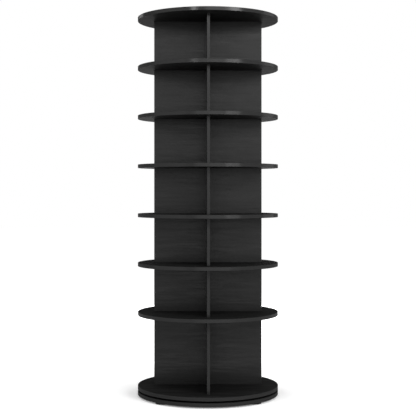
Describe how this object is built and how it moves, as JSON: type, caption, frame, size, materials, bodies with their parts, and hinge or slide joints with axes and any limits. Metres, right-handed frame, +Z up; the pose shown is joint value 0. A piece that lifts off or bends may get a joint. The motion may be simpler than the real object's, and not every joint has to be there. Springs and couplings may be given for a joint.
{
  "type": "rotating shoe tower",
  "caption": "Tall round revolving shoe tower: stacked round shelves with cross-shaped dividers between them, turning on a ball bearing over a low footed base.",
  "frame": {"origin": "on the floor, on the vertical axis that the tower turns about", "axes": "+Z up along the axis of rotation; X along the wide panels; -Y is the front, where the front half panels point"},
  "size_m": [0.6019, 0.602, 1.62],
  "materials": {
    "black_woodgrain": "black melamine with a fine embossed woodgrain, satin",
    "edge_band": "black PVC edge band, satin",
    "dowel_wood": "raw beech",
    "zinc_steel": "zinc plated",
    "ring_aluminium": "turned",
    "cage_plastic": "natural nylon",
    "foot_plastic": "black, fine texture"
  },
  "bodies": {
    "base": {"base_disc": "black_woodgrain", "base_disc_band": "edge_band", "bearing_fixed_ring": "ring_aluminium", "fixed_ring_screws": "zinc_steel", "foot_screws": "zinc_steel", "foot_front_left": "foot_plastic", "foot_front_right": "foot_plastic", "foot_rear_left": "foot_plastic", "foot_rear_right": "foot_plastic"},
    "tower": {"top_disc": "black_woodgrain", "shelf_disc_1": "black_woodgrain", "shelf_disc_2": "black_woodgrain", "shelf_disc_3": "black_woodgrain", "shelf_disc_4": "black_woodgrain", "shelf_disc_5": "black_woodgrain", "shelf_disc_6": "black_woodgrain", "bottom_disc": "black_woodgrain", "top_disc_band": "edge_band", "shelf_disc_1_band": "edge_band", "shelf_disc_2_band": "edge_band", "shelf_disc_3_band": "edge_band", "shelf_disc_4_band": "edge_band", "shelf_disc_5_band": "edge_band", "shelf_disc_6_band": "edge_band", "bottom_disc_band": "edge_band", "wide_panel_1": "black_woodgrain", "front_panel_1": "black_woodgrain", "rear_panel_1": "black_woodgrain", "wide_panel_2": "black_woodgrain", "front_panel_2": "black_woodgrain", "rear_panel_2": "black_woodgrain", "wide_panel_3": "black_woodgrain", "front_panel_3": "black_woodgrain", "rear_panel_3": "black_woodgrain", "wide_panel_4": "black_woodgrain", "front_panel_4": "black_woodgrain", "rear_panel_4": "black_woodgrain", "wide_panel_5": "black_woodgrain", "front_panel_5": "black_woodgrain", "rear_panel_5": "black_woodgrain", "wide_panel_6": "black_woodgrain", "front_panel_6": "black_woodgrain", "rear_panel_6": "black_woodgrain", "wide_panel_7": "black_woodgrain", "front_panel_7": "black_woodgrain", "rear_panel_7": "black_woodgrain", "panel_bands": "edge_band", "disc_dowels": "dowel_wood", "cross_dowels": "dowel_wood", "connecting_bolts": "zinc_steel", "end_bolts": "zinc_steel", "cam_locks": "zinc_steel", "bearing_turning_ring": "ring_aluminium", "turning_ring_screws": "zinc_steel"},
    "ball_cage_body": {"ball_cage": "cage_plastic", "bearing_balls": "zinc_steel"}
  },
  "joints": [
    {"name": "tower_spin", "type": "hinge", "parent": "base", "child": "tower", "pos_m": [0, 0, 0.026], "axis": [0, 0, 1], "continuous": true},
    {"name": "cage_spin", "type": "hinge", "parent": "base", "child": "ball_cage_body", "pos_m": [0, 0, 0.026], "axis": [0, 0, 1], "continuous": true}
  ],
  "couplings": [
    {"joint": "cage_spin", "follows": "tower_spin", "ratio": 0.5}
  ]
}
